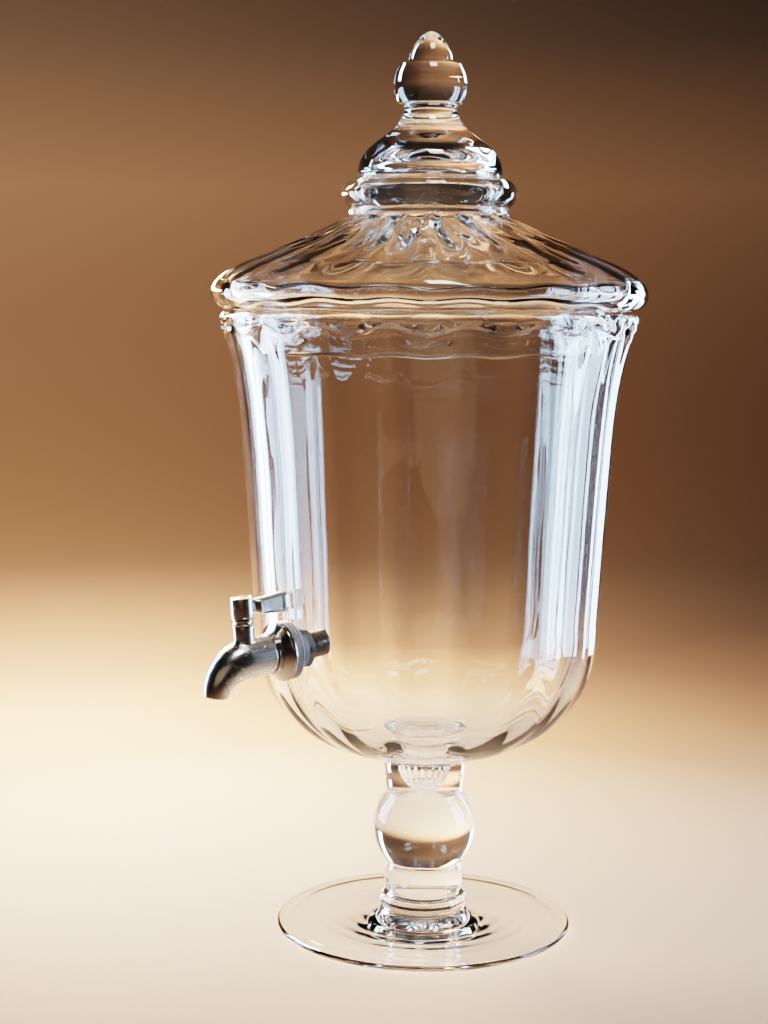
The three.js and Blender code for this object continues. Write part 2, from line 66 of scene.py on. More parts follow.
camera_data = bpy.data.cameras.new("studio_camera")
camera_data.lens = 64.7
camera_data.sensor_width = 36
camera = bpy.data.objects.new("studio_camera", camera_data)
bpy.context.scene.collection.objects.link(camera)
camera_turn = Matrix((camera_x, camera_y, -look)).transposed().to_4x4()
eye = towards_eye * VIEW_DISTANCE + Vector((0, 0, EYE_HEIGHT))
camera.matrix_world = Matrix.Translation(eye) @ camera_turn
bpy.context.scene.camera = camera


def ringed_mesh(name, *shells, looped=False, sharp_degrees=40):
    """Makes one mesh object from closed shells, each rings[i, j, xyz] closed round j. A looped
    shell also joins its last ring to its first; any other ends in a pole amid each end ring."""
    points, faces, sizes, base = [], [], [], 0
    for rings in shells:
        count, sides = rings.shape[:2]
        spans = np.arange(count if looped else count - 1)
        ring, side = np.meshgrid(spans, np.arange(sides), indexing="ij")
        above, beside = (ring + 1) % count, (side + 1) % sides
        corners = (ring * sides + side, ring * sides + beside, above * sides + beside, above * sides + side)
        quads = np.stack(corners, axis=-1).reshape(-1, 4)
        points.append(rings.reshape(-1, 3))
        faces.append(base + quads.ravel())
        sizes.append(np.full(len(quads), 4))
        if not looped:
            points.append(np.stack([rings[0].mean(axis=0), rings[-1].mean(axis=0)]))
            step = np.arange(sides)
            after = (step + 1) % sides
            start, last = count * sides, (count - 1) * sides
            low = np.stack([np.full(sides, start), after, step], axis=1)
            high = np.stack([np.full(sides, start + 1), last + step, last + after], axis=1)
            faces.append(base + np.vstack([low, high]).ravel())
            sizes.append(np.full(2 * sides, 3))
        base += count * sides + (0 if looped else 2)
    points, corners, sizes = np.vstack(points), np.concatenate(faces), np.concatenate(sizes)
    mesh = bpy.data.meshes.new(name)
    mesh.vertices.add(len(points))
    mesh.vertices.foreach_set("co", points.astype(np.float32).ravel())
    mesh.loops.add(len(corners))
    mesh.loops.foreach_set("vertex_index", corners.astype(np.int32))
    mesh.polygons.add(len(sizes))
    mesh.polygons.foreach_set("loop_start", (np.cumsum(sizes) - sizes).astype(np.int32))
    mesh.update(calc_edges=True)
    mesh.shade_smooth()
    mesh.set_sharp_from_angle(angle=math.radians(sharp_degrees))
    piece = bpy.data.objects.new(name, mesh)
    bpy.context.scene.collection.objects.link(piece)
    return piece


class Socket:
    """A shader output that adds Math nodes to its tree when it is used in sums."""

    def __init__(self, finish, output):
        self.finish = finish
        self.output = output

    def _sum(self, operation, first, second):
        return self.finish.node("ShaderNodeMath", {"operation": operation}, {0: first, 1: second})

    def __add__(self, other):
        return self._sum("ADD", self, other)

    def __sub__(self, other):
        return self._sum("SUBTRACT", self, other)

    def __rsub__(self, other):
        return self._sum("SUBTRACT", other, self)

    def __mul__(self, other):
        return self._sum("MULTIPLY", self, other)

    __radd__ = __add__
    __rmul__ = __mul__


class Finish:
    """One procedural material: a node tree with a Principled shader."""

    def __init__(self, name, **plain):
        self.material = bpy.data.materials.new(name)
        self.material.use_nodes = True
        self.tree = self.material.node_tree
        self.shader = self.tree.nodes["Principled BSDF"]
        for socket, value in plain.items():
            self.shader.inputs[socket.replace("_", " ")].default_value = value

    def node(self, kind, settings, inputs, output=0):
        """Adds a node: its settings first, then the value or link of each named socket."""
        made = self.tree.nodes.new(kind)
        for key, value in settings.items():
            if key == "stops":
                ramp = made.color_ramp.elements
                while len(ramp) < len(value):
                    ramp.new(0.5)
                for stop, (place, colour) in zip(ramp, value):
                    stop.position = place
                    stop.color = colour if len(colour) == 4 else (*colour, 1)
            else:
                setattr(made, key, value)
        for key, value in inputs.items():
            if isinstance(value, Socket):
                self.tree.links.new(value.output, made.inputs[key])
            else:
                made.inputs[key].default_value = value
        return Socket(self, made.outputs[output])

    def place(self, scale=(1, 1, 1)):
        """Object coordinates, stretched by scale."""
        spot = self.node("ShaderNodeTexCoord", {}, {}, output="Object")
        return self.node("ShaderNodeMapping", {}, {"Vector": spot, "Scale": scale})

    def noise(self, size_mm, detail=3, roughness=0.5, stretch=(1, 1, 1)):
        """Noise whose blotches are about size_mm across."""
        scale = tuple(1000 / size_mm * s for s in stretch)
        inputs = {"Vector": self.place(scale), "Scale": 1.0, "Detail": detail, "Roughness": roughness}
        return self.node("ShaderNodeTexNoise", {}, inputs, output="Fac")

    def ramp(self, value, *stops):
        return self.node("ShaderNodeValToRGB", {"stops": stops}, {"Fac": value}, output="Color")

    def between(self, value, low, high, out_low, out_high):
        """Maps value from low..high to out_low..out_high, smoothly and clamped."""
        inputs = {"Value": value, 1: low, 2: high, 3: out_low, 4: out_high}
        return self.node("ShaderNodeMapRange", {"interpolation_type": "SMOOTHSTEP"}, inputs)

    def mix(self, amount, first, second):
        inputs = {0: amount, 6: first, 7: second}
        return self.node("ShaderNodeMix", {"data_type": "RGBA"}, inputs, output=2)

    def bump(self, height, strength, depth_mm):
        inputs = {"Height": height, "Strength": strength, "Distance": depth_mm * MM}
        return self.node("ShaderNodeBump", {}, inputs)

    def link(self, socket, value):
        self.tree.links.new(value.output, self.shader.inputs[socket])


# The sweep's outline is a level line, a quarter circle and an upright line, turned about Z.
SWEEP_R = 2.3
SWEEP_CURVE = 0.7
SWEEP_SIDES = 96
WALL_TOP = 3.0
FLOOR_DROP = 0.0006

floor_r = np.linspace(0.02, SWEEP_R - SWEEP_CURVE, 12)
wall_up = np.linspace(SWEEP_CURVE + 0.1, WALL_TOP, 8)
curve_turn = np.linspace(0, math.pi / 2, 24)[1:]
curve_r = SWEEP_R - SWEEP_CURVE + SWEEP_CURVE * np.sin(curve_turn)
sweep_r = np.concatenate([floor_r, curve_r, np.full(wall_up.shape, SWEEP_R)])
curve_z = SWEEP_CURVE * (1 - np.cos(curve_turn))
sweep_z = np.concatenate([np.zeros(floor_r.shape), curve_z, wall_up]) - FLOOR_DROP
sweep_turn = np.linspace(0, 2 * math.pi, SWEEP_SIDES, endpoint=False)
sweep_rings = np.stack([
    np.outer(sweep_r, np.sin(sweep_turn)),
    np.outer(sweep_r, -np.cos(sweep_turn)),
    np.repeat(sweep_z[:, None], SWEEP_SIDES, axis=1),
], axis=-1)
studio = ringed_mesh("studio_sweep", sweep_rings)
studio.data.flip_normals()

# The paper's colour is painted light throughout: a painted pool of light on the floor, painted shade up the
# wall, and a painted glow, since the paper emits light though it is no lamp.
paper = Finish("studio_paper_painted_light", Roughness=0.9, Emission_Strength=1.0)
PAINTED_GLOW_SIDE = (-0.39, 0.18, 0)
spot = paper.place()
height = paper.node("ShaderNodeSeparateXYZ", {}, {"Vector": spot}, output="Z")
flat_spot = paper.place((1, 1, 0))
away = paper.node("ShaderNodeVectorMath", {"operation": "LENGTH"}, {0: flat_spot}, output="Value")
# Painted pool of light: the floor is painted pale round the dispenser and fades to dark brown further out.
floor_painted_pool = paper.ramp(
    paper.between(away, 0.12, 1.4, 0, 1),
    (0.0, (0.125, 0.115, 0.105)), (0.06, (0.110, 0.092, 0.076)), (0.20, (0.074, 0.047, 0.029)),
    (0.6, (0.036, 0.020, 0.012)), (1.0, (0.026, 0.0145, 0.0088)),
)
# Painted shade: the wall is painted darker towards the top.
wall_painted_shade = paper.ramp(
    paper.between(height, 0.05, 1.5, 0, 1),
    (0.0, (0.026, 0.0145, 0.0088)), (0.3, (0.025, 0.0162, 0.0115)), (0.55, (0.014, 0.0100, 0.0080)),
    (0.8, (0.0072, 0.0057, 0.0050)), (1.0, (0.0044, 0.0038, 0.0036)),
)
# The base colour: the painted pool of light on the floor, blending into the painted shade up the wall.
paint = paper.mix(paper.between(height, 0.0, 0.3, 0, 1), floor_painted_pool, wall_painted_shade)
paper.link("Base Color", paint)
wall_rise = paper.between(height, 0.02, 1.9, 0, 1)
# Painted glow, brightest low on the wall on the glow side behind the dispenser.
painted_glow_behind = paper.ramp(
    wall_rise, (0.0, (0.022, 0.012, 0.007)), (0.22, (0.125, 0.066, 0.036)), (0.42, (0.042, 0.027, 0.019)),
    (0.7, (0.012, 0.009, 0.0078)), (1.0, (0.009, 0.0075, 0.007)),
)
# Painted glow, dimmer, over the rest of the sweep.
painted_glow_dim = paper.ramp(
    wall_rise, (0.0, (0.016, 0.012, 0.010)), (0.3, (0.023, 0.018, 0.0155)), (1.0, (0.010, 0.009, 0.0085)),
)
# How far each point lies towards the glow side, which places the bright painted glow.
along_painted_glow = {0: spot, 1: PAINTED_GLOW_SIDE}
toward_painted_glow = paper.node("ShaderNodeVectorMath", {"operation": "DOT_PRODUCT"}, along_painted_glow, output="Value")
paper.link("Emission Color", paper.mix(paper.between(toward_painted_glow, 0.45, 1.0, 0, 1), painted_glow_dim, painted_glow_behind))
paper.link("Normal", paper.bump(paper.noise(3, detail=5), 0.1, 0.3))
studio.data.materials.append(paper.material)


def soft_box(name, bearing, distance, height, size, power, colour, aim=(0, 0, 0.30)):
    """A rectangular lamp that faces the aim. Its bearing is in degrees round the dispenser, to
    the right from the camera's side."""
    lamp = bpy.data.lights.new(name, "AREA")
    lamp.shape = "RECTANGLE"
    lamp.size, lamp.size_y = size
    lamp.energy = power
    lamp.color = colour
    box = bpy.data.objects.new(name, lamp)
    azimuth = VIEW_AZIMUTH + math.radians(bearing)
    box.location = (distance * math.sin(azimuth), -distance * math.cos(azimuth), height)
    towards = Vector(aim) - box.location
    box.rotation_euler = towards.to_track_quat("-Z", "Y").to_euler()
    box.visible_camera = False
    bpy.context.scene.collection.objects.link(box)


COOL = (0.50, 0.74, 1.0)
WARM = (1.0, 0.64, 0.38)
# Each upright strip is a bearing, a width in metres and a radiant power per square metre.
STRIP_HIGH = 0.48
STRIP_Z = 0.26
strips = (
    (79, 0.035, 60), (86.5, 0.085, 84), (95, 0.06, 52), (102, 0.055, 78), (134, 0.09, 54),
    (-99, 0.05, 60), (-107, 0.09, 80), (-115.5, 0.06, 46), (-122, 0.05, 70),
)
for bearing, width, glow in strips:
    strip_name = f"strip_box_{'left' if bearing < 0 else 'right'}_{abs(bearing):.0f}"
    strip_power = glow * width * STRIP_HIGH
    soft_box(strip_name, bearing, 0.65, STRIP_Z, (width, STRIP_HIGH), strip_power, COOL, aim=(0, 0, STRIP_Z))
soft_box("right_kicker", 98, 0.80, 0.72, (0.05, 0.16), 1.2, COOL, aim=(0, 0, 0.5))
soft_box("left_kicker", -112, 0.80, 0.72, (0.04, 0.16), 1.0, COOL, aim=(0, 0, 0.5))
soft_box("top_soft_box", 15, 0.45, 1.4, (0.30, 0.30), 6, (1.0, 0.98, 0.95))
soft_box("room_glow", -12, 2.0, 0.8, (1.8, 1.5), 3.2, (1.0, 0.76, 0.58))
soft_box("wall_glow", 180 + 22, 1.0, 0.62, (0.3, 0.3), 95, WARM, aim=(-1.73, 0.28, 0.12))
soft_box("floor_glow", 180 + 34, 0.66, 0.46, (0.25, 0.25), 110, WARM, aim=(-0.60, 0.12, 0.0))

world = bpy.data.worlds.new("studio_air")
bpy.context.scene.world = world
world.use_nodes = True
room_light = world.node_tree.nodes["Background"]
room_light.inputs["Color"].default_value = (0.55, 0.42, 0.34, 1)
room_light.inputs["Strength"].default_value = 0.12

cycles = bpy.context.scene.cycles
cycles.max_bounces = 24
cycles.transmission_bounces = 20
cycles.glossy_bounces = 8
cycles.transparent_max_bounces = 16
bpy.context.scene.view_settings.view_transform = "Filmic"
bpy.context.scene.view_settings.look = "High Contrast"

# ------------------------------------------------------------------------------------------
# The glass vessel: foot, collar, knopped stem and bowl.
# Clear soda glass. The bowl is blown in a fluted mould, the stem is pressed and the foot spun,
# and all four are fused hot into one piece. The tap hole is drilled when it is cold.

FLUTES = 18
AROUND = FLUTES * 13
FOOT_R = 92.0
COLLAR_R = 27.5
STEM_R = 24.5
KNOP_R = 32.0
KNOP_Z = 62.5
BOWL_R = 106.3
BOWL_SHOULDER = 195.0
BOWL_BASE = 107.6
BOWL_TAPER = 11.3
BOWL_FLARE = 9.5
ROUNDNESS = 2.45
RIM_Z = 376.0
BEAD_R = 3.9
WALL = 4.6
BASE_THICK = 9.0
FLUTE_OUT = 1.35
FLUTE_IN = 0.65

turn = np.linspace(0, 2 * math.pi, AROUND, endpoint=False)
arch = np.cos(FLUTES * turn)
hollow = 1 + arch


def run(r, z, flute=0.0, wave=0.0):
    """A stretch of outline: radius and height, flute depth and wave height, in mm."""
    r, z = np.atleast_1d(r).astype(float), np.atleast_1d(z).astype(float)
    r, z = np.broadcast_arrays(r, z)
    parts = [r, z, np.broadcast_to(flute, r.shape), np.broadcast_to(wave, r.shape)]
    return np.stack(parts, axis=1)


def arc(r, z, radius, start, end, count, flute=0.0, wave=0.0):
    """A round stretch of outline: centre, radius, and angles in degrees from level."""
    angle = np.radians(np.linspace(start, end, count))
    return run(r + radius * np.cos(angle), z + radius * np.sin(angle), flute, wave)


def bezier(ends, bends, count, flute=0.0):
    """A cubic Bezier curve from the first end to the second, leaning on two bend points."""
    t = np.linspace(0, 1, count)[:, None]
    a, d = np.array(ends[0], float), np.array(ends[1], float)
    b, c = np.array(bends[0], float), np.array(bends[1], float)
    line = a * (1 - t) ** 3 + 3 * b * t * (1 - t) ** 2 + 3 * c * t ** 2 * (1 - t) + d * t ** 3
    return run(line[:, 0], line[:, 1], flute)


def blown(outline, uneven=0.05, shallow=0.0):
    """Turns an outline of runs into rings in metres. The flute depth presses the surface along
    its own normal, the wave lifts it with the flutes, and a slow swell makes it hand-made. A
    shallow bowl loses that share of its flutes between rim and bottom, but not round the tap."""
    r, z, flute, wave = outline.T
    along_r, along_z = np.gradient(r), np.gradient(z)
    length = np.hypot(along_r, along_z) + 1e-9
    normal_r, normal_z = along_z / length, -along_r / length
    level = z[:, None]
    swell = uneven * np.sin(5 * turn[None, :] + level / 23) * np.sin(level / 31 + 2 * turn[None, :])
    swell = swell * np.clip((level - 20) / 60, 0, 1)
    from_tap = np.minimum(turn, 2 * math.pi - turn)
    off_tap = 1 - np.exp(-(from_tap / 0.3) ** 4)
    eased = shallow * np.clip((370 - level) / 40, 0, 1) * off_tap[None, :]
    depth = flute[:, None] * (1 - eased) * (1 + 0.10 * np.sin(3 * turn + 1) - 0.084)[None, :]
    press = depth * hollow[None, :] + swell
    radius = r[:, None] - press * normal_r[:, None]
    height = z[:, None] - press * normal_z[:, None] + wave[:, None] * arch[None, :]
    return np.stack([radius * np.sin(turn), -radius * np.cos(turn), height], axis=-1) * MM


def bowl_radius(z):
    """Crest radius of the bowl's outside: a taper plus a high power of height for the flare."""
    rise = (z - BOWL_SHOULDER) / (RIM_Z - BOWL_SHOULDER)
    return BOWL_R + BOWL_TAPER * rise + BOWL_FLARE * rise ** 7


def bowl_bottom(radius, base, start, count):
    """The superellipse under the bowl, from angle start at the stem to level at the shoulder."""
    angle = np.radians(np.linspace(start, 90, count))
    r = radius * np.sin(angle) ** (2 / ROUNDNESS)
    z = BOWL_SHOULDER - (BOWL_SHOULDER - base) * np.cos(angle) ** (2 / ROUNDNESS)
    return r, z


def bottom_fade(radius):
    """How much of the flutes' depth is left at a radius under the bowl, fading towards the stem."""
    return np.clip((radius - 34) / 66, 0, 1) ** 1.3


# The outline goes up the outside from under the foot, over the rim and down the inside. A second
# closed shell is the bell-shaped bubble of air that is left in the top of the stem.
under_r, under_z = bowl_bottom(BOWL_R, BOWL_BASE, 12, 60)
inner_r, inner_z = bowl_bottom(BOWL_R - WALL, BOWL_BASE + BASE_THICK, 5, 48)
wall_z = np.concatenate([np.linspace(BOWL_SHOULDER + 2, 351, 26), np.linspace(353, 374.6, 20)])
groove = np.exp(-((wall_z - 371.2) / 1.3) ** 2)
wall_wave = 1.7 * np.exp(-((wall_z - 372) / 5) ** 2)
foot_fall = np.linspace(0, 1, 40)

vessel_outline = np.vstack([
    run(np.linspace(6, FOOT_R - 12, 6), 0.6),
    run(np.linspace(FOOT_R - 10, FOOT_R - 2.4, 6), [0.4, 0.14, 0.02, 0, 0, 0]),
    arc(FOOT_R - 1.6, 1.6, 1.6, -80, 78, 12),
    run(FOOT_R - 1.9 - 62.6 * foot_fall, 3.25 + 2.0 * foot_fall + 3.8 * foot_fall ** 3.2
        + 0.05 * np.sin(foot_fall * 46)),
    arc(COLLAR_R - 6.2, 14.8, 6.2, -44, 74, 22),
    bezier([(STEM_R - 1.4, 21.6), (STEM_R - 1.0, 40.3)], [(STEM_R + 0.3, 25), (STEM_R + 0.3, 37)], 18),
    arc(0, KNOP_Z, KNOP_R, -43, 43, 36),
    bezier([(STEM_R - 1.0, 85.0), (31.5, 109.2)], [(STEM_R + 1.4, 92), (STEM_R - 1.5, 108.6)], 22),
    run(under_r, under_z, FLUTE_OUT * bottom_fade(under_r)),
    run(bowl_radius(wall_z) - 0.9 * groove, wall_z, FLUTE_OUT, wall_wave),
    arc(bowl_radius(RIM_Z) - BEAD_R, RIM_Z + 3.2, BEAD_R, -28, 178, 22, FLUTE_OUT * 0.75, 0.5),
    run(bowl_radius(wall_z[::-1]) - WALL, wall_z[::-1], -FLUTE_IN),
    run(inner_r[::-1], inner_z[::-1], -FLUTE_IN * bottom_fade(inner_r[::-1])),
    run([9.0, 4.5, 0.4], [116.9, 116.7, 116.65]),
])
bubble_outline = np.vstack([
    bezier([(0.3, 110.2), (10.6, 106.0)], [(7, 110.2), (10.6, 109.4)], 10, -0.3),
    bezier([(10.6, 105.2), (0.3, 86.6)], [(10.4, 94), (6.6, 86.6)], 20,
           -0.45 * np.linspace(1, 0, 20) ** 0.5),
])
vessel_rings = blown(vessel_outline, shallow=0.5)
vessel = ringed_mesh("clear_vessel", vessel_rings, blown(bubble_outline), sharp_degrees=60)

# The glass has faint wiped smears and a drawn skin, and lets most of its own shadow through.
glass = Finish("clear_glass", Base_Color=(0.975, 0.985, 0.985, 1), Transmission_Weight=1.0, IOR=1.5)
smears = glass.noise(26, detail=2, stretch=(1, 1, 0.35))
glass.link("Roughness", glass.between(smears, 0.55, 0.8, 0.0, 0.035))
glass.link("Normal", glass.bump(glass.noise(30, detail=1, stretch=(1, 1, 0.16)), 0.13, 1.2))
shadow = glass.node("ShaderNodeLightPath", {}, {}, output="Is Shadow Ray")
glass.link("Alpha", 1 - shadow * 0.85)

vessel.data.materials.append(glass.material)
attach(vessel, "dispenser")
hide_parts("glass_foot", "glass_collar", "glass_stem", "glass_bowl")

# ------------------------------------------------------------------------------------------
# The lid: a fluted dome with a thick rolled edge and an inner skirt, a hollow ring and bell
# blown on its neck, and a solid ball and tip on top. One piece of clear glass that lifts off.

SEAT_Z = 383.5
LID_R = 132.6
EDGE_Z = 393.0
SKIRT_R = 112.5
SKIRT_WALL = 3.6
SKIRT_Z = 358.5
NECK_R = 48.8
NECK_Z = 444.6
RING_R = 53.2
RING_Z = 453.6
BALL_R = 22.1
BALL_Z = 518.3
TIP_Z = 550.0
LID_FLUTE = 1.2

skirt_up = np.linspace(SKIRT_Z + 2.0, SEAT_Z - 5, 18)
skirt_wave = 0.45 * np.linspace(1, 0, 18) ** 2
skirt_lip = 0.5 * np.exp(-((skirt_up - SKIRT_Z - 2.4) / 1.6) ** 2)
down_dome = np.linspace(0, 1, 48)
inside_dome = down_dome[:46]

lid_outline = np.vstack([
    run(SKIRT_R + skirt_lip, skirt_up, 0.3, skirt_wave),
    bezier([(SKIRT_R, SEAT_Z - 4.4), (LID_R - 8.6, SEAT_Z + 0.5)],
           [(SKIRT_R + 0.3, SEAT_Z - 0.6), (SKIRT_R + 4, SEAT_Z)], 14, 0.3),
    bezier([(LID_R - 8.0, SEAT_Z + 0.7), (LID_R, EDGE_Z)],
           [(LID_R - 4, SEAT_Z + 1.8), (LID_R, EDGE_Z - 4.5)], 18, LID_FLUTE * 0.22),
    bezier([(LID_R, EDGE_Z + 0.6), (LID_R - 20, 412.2)],
           [(LID_R + 0.4, EDGE_Z + 8), (LID_R - 9.5, 407.3)], 26, LID_FLUTE * np.linspace(0.22, 0.7, 26)),
    bezier([(LID_R - 21, 412.6), (NECK_R + 0.4, 440.4)], [(LID_R - 48, 423), (NECK_R + 8, 436.4)], 48,
           LID_FLUTE * (0.7 + 0.3 * np.sin(down_dome * math.pi)) * (1 - down_dome ** 5)),
    run(NECK_R, np.linspace(441, NECK_Z - 0.6, 5)),
    arc(RING_R - 9, RING_Z, 9, -70, 74, 26),
    bezier([(43.7, 463.6), (16.0, 503.6)], [(45.2, 486), (19.5, 486)], 40),
    bezier([(15.2, 504.0), (15.4, 507.6)], [(16.6, 504.6), (16.6, 507.2)], 8),
    arc(0, BALL_Z, BALL_R, -29, 34, 26),
    bezier([(13.2, 531.0), (1.2, TIP_Z)], [(14.6, 538), (6.2, 549.6)], 24),
    run(0.6, TIP_Z + 0.02),
])
lid_inside = np.vstack([
    bezier([(0.3, 472.6), (6.0, 475.6)], [(2.6, 472.8), (3.4, 475.2)], 8),
    bezier([(6.6, 475.7), (38.6, 462.6)], [(22, 477.0), (37.5, 471)], 28),
    bezier([(39.2, 462.0), (43.4, 444.4)], [(47.5, 458), (46.5, 447)], 18),
    run(NECK_R - 5, np.linspace(443, 438, 4)),
    bezier([(NECK_R - 4.4, 437.0), (109.9, 407.9)], [(55.1, 431.7), (82.9, 418.3)], 46,
           -LID_FLUTE * (0.7 + 0.9 * np.exp(-((inside_dome - 0.34) / 0.26) ** 2))),
    bezier([(110.8, 407.5), (123.6, 399.4)], [(115.6, 405.3), (120.6, 402.6)], 12,
           -LID_FLUTE * np.linspace(0.7, 0.4, 12)),
    bezier([(124.2, 398.8), (120.4, 389.6)], [(127.6, 394.8), (125.6, 390.6)], 14, -LID_FLUTE * 0.4),
    bezier([(119.4, 389.3), (SKIRT_R - SKIRT_WALL, 372)], [(111.5, 387.4), (SKIRT_R - SKIRT_WALL, 382)],
           14, -LID_FLUTE * np.linspace(0.4, 0.2, 14)),
    run(SKIRT_R - SKIRT_WALL, np.linspace(370.5, SKIRT_Z + 2.0, 10), -0.2,
        0.45 * np.linspace(0, 1, 10) ** 2),
    arc(SKIRT_R - SKIRT_WALL / 2, SKIRT_Z + 1.8, SKIRT_WALL / 2, 184, 356, 12, 0.0, 0.45),
])
lid_rings = blown(np.vstack([lid_inside, lid_outline]), uneven=0.04)

# Inside the dome the glass has run a little while it was soft: radial ripples, two to a flute.
reach = np.hypot(lid_rings[..., 0], lid_rings[..., 1]) / MM
under = (np.arange(len(lid_rings)) < len(lid_inside))[:, None]
ripple = np.sin(2 * FLUTES * turn + 1.2 * np.sin(reach / 7))
lid_rings[..., 2] += under * 0.6 * np.exp(-((reach - 70) / 15) ** 2) * ripple * MM
lid = ringed_mesh("clear_lid", lid_rings, sharp_degrees=60)
lid.data.materials.append(glass.material)
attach(lid, "lid")
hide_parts("glass_lid", "glass_crown", "glass_finial")

# ------------------------------------------------------------------------------------------
# The tap body: barrel, curved spout and spindle boss.
# One stainless steel casting, ground and polished. Its mouth is bored out, and the barrel is
# bored from the back for the valve.

TILT = math.radians(4.6)
TAP_OUT = BOWL_R - 0.6 - 2 * FLUTE_OUT
TAP_Z = 186.1
VALVE_U = 32.2
BARREL_R = 11.7
BARREL_START = 17.0
BEND_R = 22.9
BEND = math.radians(76)
SPOUT_R = 7.0
BORE_R = 4.6
CAVITY_R = 7.6
NOSE_R = 8.7
BOSS_R = 6.1
BOSS_TOP = 20.1
BOSS_ROOT = 8.5
FILLET = 2.6


def tap_place(x, u, w):
    """Tap coordinates in mm, sideways, outwards from the glass and up, to metres in the frame."""
    x, u, w = np.broadcast_arrays(x, u, w)
    y = -(TAP_OUT + u * math.cos(TILT) + w * math.sin(TILT))
    z = TAP_Z - u * math.sin(TILT) + w * math.cos(TILT)
    return np.stack([x, y, z], axis=-1) * MM


def stations(u, share, radius):
    """A stretch of the spout: distance u before the bend, share of the bend passed, radius."""
    u, share, radius = np.broadcast_arrays(u, share, radius)
    return np.stack([u, share, radius], axis=1).astype(float)


def swept(outline, sides=96):
    """Carries a circle along a straight line and then round the bend: centre (u, w) = (start
    + R sin a, -R (1 - cos a)) for angle a, with the circle always square to the path."""
    u, share, radius = outline.T
    angle = share * BEND
    centre_u = u + BEND_R * np.sin(angle)
    centre_w = -BEND_R * (1 - np.cos(angle))
    around = np.linspace(0, 2 * math.pi, sides, endpoint=False)
    lift = np.outer(radius, np.cos(around))
    out_u = centre_u[:, None] + lift * np.sin(angle)[:, None]
    out_w = centre_w[:, None] + lift * np.cos(angle)[:, None]
    return tap_place(-np.outer(radius, np.sin(around)), out_u, out_w)


def upright(outline, sides=96):
    """Turns rows of (radius, w) about the spindle's axis."""
    radius, w = np.array(outline, float).T
    around = np.linspace(0, 2 * math.pi, sides, endpoint=False)
    across, along = np.outer(radius, np.sin(around)), np.outer(radius, np.cos(around))
    return tap_place(across, VALVE_U + along, w[:, None])


def lengthwise(outline, sides=96):
    """Turns rows of (radius, u) about the barrel's axis."""
    radius, u = np.array(outline, float).T
    around = np.linspace(0, 2 * math.pi, sides, endpoint=False)
    return tap_place(-np.outer(radius, np.sin(around)), u[:, None], np.outer(radius, np.cos(around)))


def worked(piece, tool, operation):
    """Joins a tool shape to a piece or cuts it away, and leaves the result in the piece's mesh."""
    step = piece.modifiers.new(operation, "BOOLEAN")
    step.operation = operation
    step.solver = "EXACT"
    step.object = tool
    bpy.context.view_layer.update()
    result = bpy.data.meshes.new_from_object(piece.evaluated_get(bpy.context.evaluated_depsgraph_get()))
    piece.modifiers.clear()
    piece.data = result
    bpy.data.objects.remove(tool)
    piece.data.set_sharp_from_angle(angle=math.radians(38))


def smooth(value, low, high):
    """Nought below low, one above high, an S-curve between."""
    t = np.clip((value - low) / (high - low), 0, 1)
    return t * t * (3 - 2 * t)


bend_share = np.linspace(0, 1, 56)[1:]
lip = np.radians(np.linspace(0, 180, 11))[1:-1]
lip_r = (SPOUT_R - BORE_R) / 2
barrel_outline = np.vstack([
    stations(BARREL_START + 0.05, 0, [NOSE_R + 0.3, BARREL_R - 0.6]),
    stations(BARREL_START + np.array([0.16, 0.5]), 0, [BARREL_R - 0.14, BARREL_R]),
    stations(np.linspace(BARREL_START + 1, VALVE_U, 16), 0, BARREL_R),
    stations(VALVE_U, bend_share, BARREL_R - (BARREL_R - SPOUT_R) * bend_share ** 1.6),
    stations(VALVE_U, 1 + 0.032 * np.sin(lip), BORE_R + lip_r + lip_r * np.cos(lip)),
    stations(VALVE_U, bend_share[:16:-1], BORE_R),
    stations([39.6, 39.6], 0, [BORE_R, CAVITY_R]),
    stations([33.0, 26.0, 26.0], 0, [CAVITY_R, CAVITY_R, NOSE_R + 0.3]),
    stations([22.0], 0, NOSE_R + 0.3),
])
body = ringed_mesh("polished_tap_body", swept(barrel_outline), looped=True)

# The boss stands on the barrel with a cast fillet: a quarter circle between the boss's side and
# the top of the barrel, whose height is sqrt(R^2 - x^2), less its fall round the bend.
around = np.linspace(0, 2 * math.pi, 96, endpoint=False)
sweep_down = np.radians(np.linspace(0, 90, 10))
flare = BOSS_R + FILLET * (1 - np.cos(sweep_down))
foot_x = (BOSS_R + FILLET) * np.sin(around)
foot_u = (BOSS_R + FILLET) * np.cos(around)
crown = np.sqrt(BARREL_R ** 2 - foot_x ** 2)
fall = BEND_R + crown - np.sqrt((BEND_R + crown) ** 2 - np.clip(foot_u, 0, None) ** 2)
saddle = crown - fall
rise = FILLET * (1 - np.sin(sweep_down))
upper_r = [BOSS_R, BOSS_R, BOSS_R - 0.12, BOSS_R - 0.5, 2.0]
upper_w = [15.5, BOSS_TOP - 0.5, BOSS_TOP - 0.15, BOSS_TOP, BOSS_TOP]
boss_r = np.concatenate([[2.0, flare[-1]], flare[::-1], upper_r])
boss_w = np.vstack([
    np.full((2, len(around)), BOSS_ROOT),
    saddle[None, :] - 0.25,
    saddle[None, :] + rise[-2::-1, None],
    np.repeat(np.array(upper_w)[:, None], len(around), axis=1),
])
boss = ringed_mesh("boss", tap_place(
    np.outer(boss_r, np.sin(around)), VALVE_U + np.outer(boss_r, np.cos(around)), boss_w))
worked(body, boss, "UNION")
worked(body, ringed_mesh("spindle_bore", upright([(BORE_R, 2), (BORE_R, 12), (BORE_R, 24)])), "DIFFERENCE")


